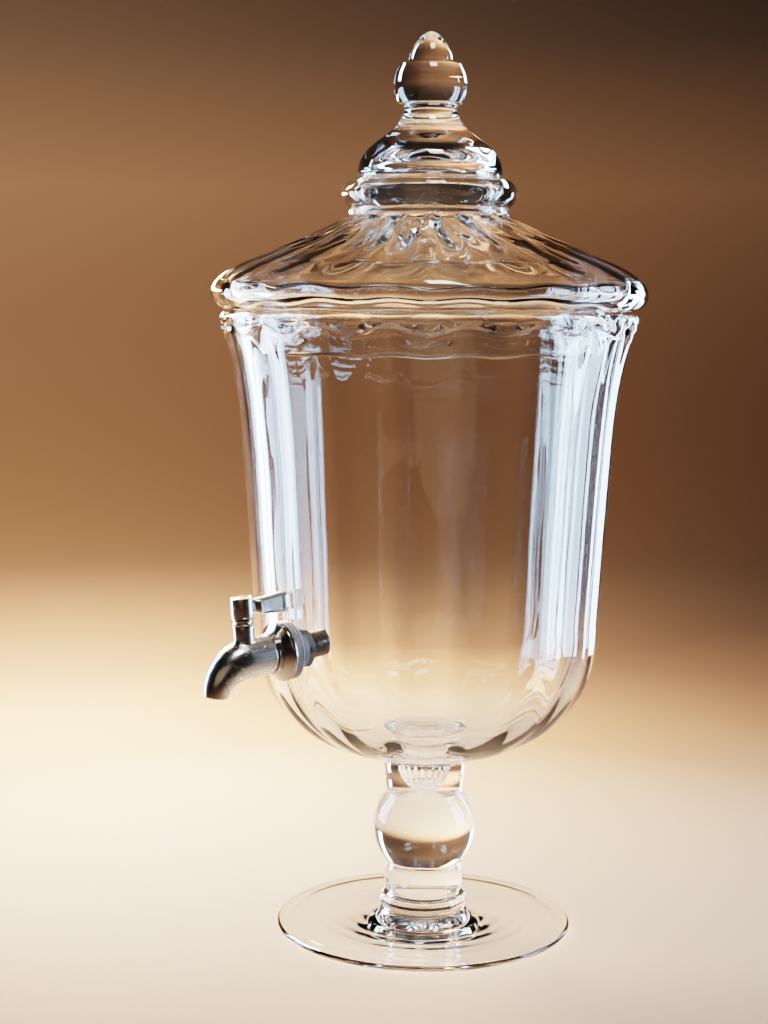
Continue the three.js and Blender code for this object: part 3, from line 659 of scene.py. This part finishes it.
def steel_finish(name, dark, pale, rough, grain_stretch):
    """Polished stainless steel: fine polishing lines, faint cloudy smears and a warm grey tone."""
    steel = Finish(name, Metallic=1.0)
    lines = steel.noise(1.6, detail=4, roughness=0.6, stretch=grain_stretch)
    smears = steel.noise(11, detail=4, roughness=0.6)
    marks = steel.between(smears, 0.52, 0.74, 0, 1)
    steel.link("Base Color", steel.ramp(smears, (0.3, dark), (0.72, pale)))
    steel.link("Roughness", steel.between(lines, 0.25, 0.75, rough, rough + 0.09) + marks * 0.12)
    steel.link("Normal", steel.bump(lines, 0.22, 0.03))
    return steel


polished = steel_finish("polished_steel", (0.48, 0.455, 0.435), (0.62, 0.60, 0.58), 0.18, (1, 0.12, 1))
body.data.materials.append(polished.material)
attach(body, "dispenser")
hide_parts("tap_body")

# ------------------------------------------------------------------------------------------
# The tailpiece: a polished cone flange, a stepped collar and a threaded shank.
# Turned from stainless bar. The shank goes through the glass; its fine thread is left dull, the
# shank behind the flange is painted dark and mottled as painted shade, and its nose is screwed
# into the barrel.

FLANGE_R = 17.5
FLANGE_U = 7.3
SHANK_R = 8.0
SHANK_END = -25.1
THREAD_PITCH = 1.25
THREAD_DEPTH = 0.55

shank_u = np.linspace(SHANK_END + 1.2, -0.6, 150)
shank_edge = np.linspace(0, 1, 6)
step_r = BARREL_R + 0.55
tail_outline = np.vstack([
    run([BORE_R, BORE_R + 0.3, SHANK_R - 1.4], [SHANK_END + 0.4, SHANK_END, SHANK_END]),
    run(SHANK_R - 1.4 + 0.9 * shank_edge, SHANK_END + 1.0 * shank_edge ** 1.4),
    run(SHANK_R, shank_u),
    run([SHANK_R, SHANK_R], [0.5, FLANGE_U - 0.05]),
    run([FLANGE_R - 0.5, FLANGE_R - 0.12, FLANGE_R], FLANGE_U + np.array([0, 0.12, 0.5])),
    run([FLANGE_R, FLANGE_R - 0.15, FLANGE_R - 0.6], FLANGE_U + np.array([2.0, 2.45, 2.8])),
    run([BARREL_R + 1.9, step_r + 0.35], FLANGE_U + np.array([5.2, 5.9])),
    run([step_r - 0.25, step_r - 0.25], FLANGE_U + np.array([6.05, 6.35])),
    run([step_r, step_r + 0.1, step_r], FLANGE_U + np.array([6.5, 7.0, 7.5])),
    run([step_r - 0.45, step_r - 0.45], FLANGE_U + np.array([7.65, 8.0])),
    run([step_r - 0.1, step_r, step_r - 0.15], FLANGE_U + np.array([8.15, 8.6, 9.1])),
    run([BARREL_R - 0.5, NOSE_R, NOSE_R, NOSE_R - 0.5], FLANGE_U + np.array([9.4, 9.4, 17.2, 17.5])),
    run([BORE_R, BORE_R], [FLANGE_U + 17.5, 0]),
])
tail_r, tail_u = tail_outline[:, 0], tail_outline[:, 1]
around = np.linspace(0, 2 * math.pi, 120, endpoint=False)
phase = tail_u[:, None] / THREAD_PITCH + around[None, :] / (2 * math.pi)
tooth = 1 - np.abs(2 * (phase % 1) - 1) ** 0.8
threaded = smooth(tail_u, SHANK_END + 1.2, SHANK_END + 3) * (1 - smooth(tail_u, -3, -0.7))
threaded = threaded * (np.abs(tail_r - SHANK_R) < 0.01)
tail_radius = tail_r[:, None] - THREAD_DEPTH * threaded[:, None] * tooth
tail = ringed_mesh("threaded_tailpiece", tap_place(
    -tail_radius * np.sin(around), tail_u[:, None], tail_radius * np.cos(around)), looped=True)

threads = steel_finish("shank_steel_painted_shade", (0.42, 0.395, 0.375), (0.54, 0.52, 0.50), 0.15, (1, 0.12, 1))
outward = threads.node("ShaderNodeSeparateXYZ", {}, {"Vector": threads.place()}, output="Y")
# Painted shade: everything behind the flange, in the glass hole and inside the bowl, is painted dark and
# mottled, and made duller.
shaded_behind_flange = threads.between(outward, -TAP_OUT * MM - 0.0068, -TAP_OUT * MM - 0.0060, 0, 1)
mottle = threads.noise(2.2, detail=5, roughness=0.7)
painted_shade_behind = threads.ramp(
    mottle, (0.35, (0.06, 0.054, 0.05)), (0.6, (0.17, 0.155, 0.14)), (0.8, (0.34, 0.32, 0.30)))
bright = threads.ramp(mottle, (0.2, (0.43, 0.405, 0.385)), (0.8, (0.54, 0.52, 0.50)))
threads.link("Base Color", threads.mix(shaded_behind_flange, bright, painted_shade_behind))
threads.link("Roughness", threads.between(mottle, 0.3, 0.7, 0.10, 0.16) + shaded_behind_flange * 0.16)
tail.data.materials.append(threads.material)
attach(tail, "dispenser")
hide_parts("tap_tailpiece")

# ------------------------------------------------------------------------------------------
# The tap hole and its two gaskets.
# The hole is drilled through the bowl's wall with a diamond bit. A ridged pale grey silicone
# gasket seals the flange outside, and a thin dark one goes under the nut inside.

HOLE_R = 8.9
GASKET_R = 17.3
GASKET_FRONT = 7.0
INNER_GASKET_R = 12.6
INNER_GASKET_BACK = -6.1
SLACK = 0.3

drill = ringed_mesh("drill", lengthwise([(HOLE_R, -14), (HOLE_R, -3), (HOLE_R, 7)], 64))
worked(vessel, drill, "DIFFERENCE")
vessel.data.set_sharp_from_angle(angle=math.radians(60))


def wall_u(x, w, inner=False):
    """How far out the bowl's wall stands at sideways x and height w beside the tap: the bowl's
    outline radius less its flute at that bearing, resolved onto the tap's axis."""
    z = TAP_Z + w * math.cos(TILT)
    thick, flute = (WALL, -FLUTE_IN) if inner else (0, FLUTE_OUT)
    base = BOWL_BASE + (BASE_THICK if inner else 0)
    drop = np.clip((BOWL_SHOULDER - z) / (BOWL_SHOULDER - base), 0, 1)
    crest = (BOWL_R - thick) * (1 - drop ** ROUNDNESS) ** (1 / ROUNDNESS)
    crest = np.where(z > BOWL_SHOULDER, bowl_radius(z) - thick, crest)
    bearing = np.arcsin(np.clip(x / crest, -1, 1))
    radius = crest - abs(flute) * (1 + np.cos(FLUTES * bearing)) * (-1 if inner else 1)
    return (radius * np.cos(bearing) - TAP_OUT - w * math.sin(TILT)) / math.cos(TILT)


def gasket(name, outline, inner=False, sides=120):
    """Turns rows of (radius, share, u) about the tap's axis. The share says how much of the row's
    place comes from the glass beside it, so a share of one lies on the wall with a hair's gap."""
    radius, share, u = np.array(outline, float).T
    around = np.linspace(0, 2 * math.pi, sides, endpoint=False)
    x, w = -np.outer(radius, np.sin(around)), np.outer(radius, np.cos(around))
    wall = wall_u(x, w, inner) + (-SLACK if inner else SLACK)
    place_u = u[:, None] + share[:, None] * (wall - u[:, None])
    return ringed_mesh(name, tap_place(x, place_u, w), looped=True)


ridges = 3
edge_share = np.linspace(0, 1, 40)
edge_bulge = 0.55 * np.abs(np.sin(edge_share * ridges * math.pi)) ** 0.6
outer_rows = [(SHANK_R + 0.4, 1, 0), (GASKET_R - 1.1, 1, 0)]
outer_rows += list(zip(GASKET_R - 0.6 + edge_bulge, 1 - edge_share, edge_share * 0 + GASKET_FRONT))
outer_rows += [(GASKET_R - 1.0, 0, GASKET_FRONT), (SHANK_R + 0.4, 0, GASKET_FRONT)]
outer_gasket = gasket("ridged_outer_gasket", outer_rows)


def rubber_finish(name, low, high, rough):
    """Moulded silicone: an even colour with a dusty bloom, fine pores and finger marks."""
    rubber = Finish(name, Subsurface_Weight=0.06, Subsurface_Scale=0.002)
    bloom = rubber.noise(6, detail=5, roughness=0.65)
    pores = rubber.noise(0.5, detail=2)
    rubber.link("Base Color", rubber.ramp(bloom, (0.3, low), (0.75, high)))
    rubber.link("Roughness", rubber.between(bloom, 0.3, 0.7, rough - 0.08, rough + 0.1))
    rubber.link("Normal", rubber.bump(pores + bloom * 0.5, 0.25, 0.05))
    return rubber


grey_silicone = rubber_finish("grey_silicone", (0.13, 0.133, 0.145), (0.23, 0.233, 0.25), 0.50)
outer_gasket.data.materials.append(grey_silicone.material)
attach(outer_gasket, "dispenser")
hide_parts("outer_gasket")

inner_r = INNER_GASKET_R + 0.25 * np.cos(np.linspace(-1.4, 1.4, 10)) - 0.25
inner_rows = [(SHANK_R + 0.4, 0, INNER_GASKET_BACK), (INNER_GASKET_R - 0.5, 0, INNER_GASKET_BACK)]
inner_rows += list(zip(inner_r, np.linspace(0.04, 0.96, 10), np.full(10, INNER_GASKET_BACK)))
inner_rows += [(INNER_GASKET_R - 0.5, 1, 0), (SHANK_R + 0.4, 1, 0)]
inner_gasket = gasket("dark_inner_gasket", inner_rows, inner=True)
dark_silicone = rubber_finish("dark_silicone", (0.028, 0.029, 0.031), (0.055, 0.056, 0.06), 0.5)
inner_gasket.data.materials.append(dark_silicone.material)
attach(inner_gasket, "dispenser")
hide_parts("inner_gasket")

# ------------------------------------------------------------------------------------------
# The lock nut inside the bowl.
# A thin hexagon nut turned from stainless bar, with its corners chamfered off both faces. Its
# steel is painted near-black, as painted shade. It pulls the tailpiece tight through the glass.

NUT_CORNER = 12.7
NUT_FRONT = INNER_GASKET_BACK - SLACK
NUT_THICK = 3.4

around = np.linspace(0, 2 * math.pi, 144, endpoint=False)
sixth = (around + math.radians(30)) % math.radians(60) - math.radians(30)
hexagon = NUT_CORNER * math.cos(math.radians(30)) / np.cos(sixth)
nut_u = NUT_FRONT - NUT_THICK + np.array([0, 0, 0.35, 0.7, 1.7, 2.7, 3.05, NUT_THICK, NUT_THICK])
chamfer = np.array([0, -1.75, -0.85, -0.3, 0, -0.3, -0.85, -1.75, 0])
nut_radius = np.minimum(hexagon[None, :], NUT_CORNER + chamfer[:, None])
nut_radius[[0, -1]] = SHANK_R + 0.3
nut = ringed_mesh("lock_nut_hexagon", tap_place(
    -nut_radius * np.sin(around), nut_u[:, None], nut_radius * np.cos(around)), looped=True)
# Painted shade: this steel is painted near-black, far darker than stainless steel's own tone. The spindle
# and lever screw inside the tap share it.
turned = steel_finish("turned_steel", (0.030, 0.027, 0.025), (0.085, 0.078, 0.072), 0.34, (1, 1, 1))
nut.data.materials.append(turned.material)
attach(nut, "dispenser")
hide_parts("lock_nut")

# ------------------------------------------------------------------------------------------
# The packing nut: a short polished steel collar on the boss, with a groove round its middle.
# It screws into the boss and squeezes the gland washer on the spindle.

packing = ringed_mesh("packing_collar", upright([
    (3.4, 16.9), (4.1, 16.9), (4.1, 20.4), (5.3, 20.4), (5.85, 20.55), (6.05, 20.9), (6.05, 21.5),
    (5.8, 21.75), (5.1, 21.85), (5.0, 22.2), (5.0, 22.9), (5.1, 23.15), (5.6, 23.2), (5.9, 23.4),
    (5.9, 23.85), (5.6, 24.1), (3.4, 24.1),
]), looped=True)
packing.data.materials.append(polished.material)
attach(packing, "dispenser")
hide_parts("packing_nut")

# ------------------------------------------------------------------------------------------
# The lever: a drum on the spindle with an arm that reaches back over the barrel.
# Cast and polished in one. The arm is a narrow neck that widens to a slab with a flat panel
# pressed into each side, and a round end. A domed cap closes the drum.

HUB_R = 6.6
HUB_BOTTOM = 24.5
HUB_TOP = 36.7
REACH = VALVE_U - 0.6
ARM_HALF = 4.4
NECK_HALF = 2.8
PANEL_DEPTH = 0.75
END_R = 4.4

hub = upright([
    (3.45, HUB_BOTTOM), (5.6, HUB_BOTTOM), (6.1, 24.62), (6.45, 24.95), (6.5, 25.6), (6.3, 25.8),
    (6.3, 26.1),
    (6.55, 26.3), (HUB_R, 27), (HUB_R, 30), (HUB_R, 35.6), (6.5, 36.2), (6.25, 36.6), (5.9, HUB_TOP),
    (5.3, 36.65), (5.0, 36.4), (4.9, 35.8), (4.9, 33), (1.9, 33), (1.9, 31.3), (3.45, 31.3),
])

# The arm is a row of superellipses: back is how far each stands behind the spindle. Half width and
# half height fall off round the end, and the panel is a flat floor that cuts the sides off.
end_start = REACH - END_R
back_end = end_start + END_R * np.sin(np.linspace(0.07, 1.5, 24))
back = np.concatenate([np.linspace(4.5, end_start, 44), back_end])
end_in = np.clip((back - end_start) / END_R, 0, 0.9999)
rounding = (1 - end_in ** 3) ** (1 / 3)
top = 34.2 + 1.3 * smooth(back, 6, REACH)
under = 27.6 - 4.8 * smooth(back, 5, 12) * (0.45 + 0.55 * np.clip((back - 8) / (REACH - 8), 0, 1))
half_high = (top - under) / 2 * (0.30 + 0.70 * rounding)
half_wide = (NECK_HALF + (ARM_HALF - NECK_HALF) * smooth(back, 7.6, 11)) * rounding
middle = (top + under) / 2
arm_turn = np.linspace(0, 2 * math.pi, 112, endpoint=False)
corner = 2 / 3.4
side_x = np.sign(np.cos(arm_turn)) * np.abs(np.cos(arm_turn)) ** corner
side_w = np.sign(np.sin(arm_turn)) * np.abs(np.sin(arm_turn)) ** corner
framed = smooth(back, 10.6, 11.3) * (1 - smooth(back, REACH - 5.4, REACH - 4.8))
panel = framed[:, None] * (1 - smooth(np.abs(side_w), 0.66, 0.76))[None, :]
side_depth = np.minimum(np.abs(side_x) * half_wide[:, None], half_wide[:, None] - PANEL_DEPTH * panel)
arm_x = np.sign(side_x) * side_depth
arm_w = middle[:, None] + half_high[:, None] * side_w
arm = tap_place(arm_x, VALVE_U - back[:, None], arm_w)[::-1]
lever = ringed_mesh("polished_lever_drum", hub, looped=True)
lever_arm = ringed_mesh("polished_lever_arm", arm)
for piece in (lever, lever_arm):
    piece.data.materials.append(polished.material)
    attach(piece, "lever")
    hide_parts("lever_handle")

cap = ringed_mesh("lever_cap_disc", upright([
    (0.3, 35.2), (4.3, 35.2), (4.6, 35.35), (4.6, 35.95), (4.45, 36.2), (3.9, 36.42), (2.6, 36.62),
    (1.2, 36.72), (0.3, 36.74),
]))
cap.data.materials.append(polished.material)
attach(cap, "lever")
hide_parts("lever_cap")

# ------------------------------------------------------------------------------------------
# The working parts inside the tap.
# A drilled and slotted steel ball turns between two white seats, driven by a spindle with two
# rubber rings. The shapes are the model's own; these are their finishes.

ptfe = Finish("white_ptfe", Subsurface_Weight=0.1, Subsurface_Scale=0.001)
waxy = ptfe.noise(2, detail=4)
ptfe.link("Base Color", ptfe.ramp(waxy, (0.3, (0.72, 0.72, 0.70)), (0.7, (0.83, 0.83, 0.81))))
ptfe.link("Roughness", ptfe.between(waxy, 0.3, 0.7, 0.32, 0.5))
ptfe.link("Normal", ptfe.bump(ptfe.noise(0.4, detail=3), 0.2, 0.03))

inside = {
    polished: ("valve_ball",),
    # The spindle and lever screw take the nut's steel, painted near-black as painted shade.
    turned: ("spindle", "lever_screw"),
    dark_silicone: ("spindle_oring_lower", "spindle_oring_upper"),
    ptfe: ("ball_seat_front", "ball_seat_rear", "tail_seal", "gland_washer"),
}
for finish, nodes in inside.items():
    for node in nodes:
        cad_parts[node].data.materials.clear()
        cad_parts[node].data.materials.append(finish.material)
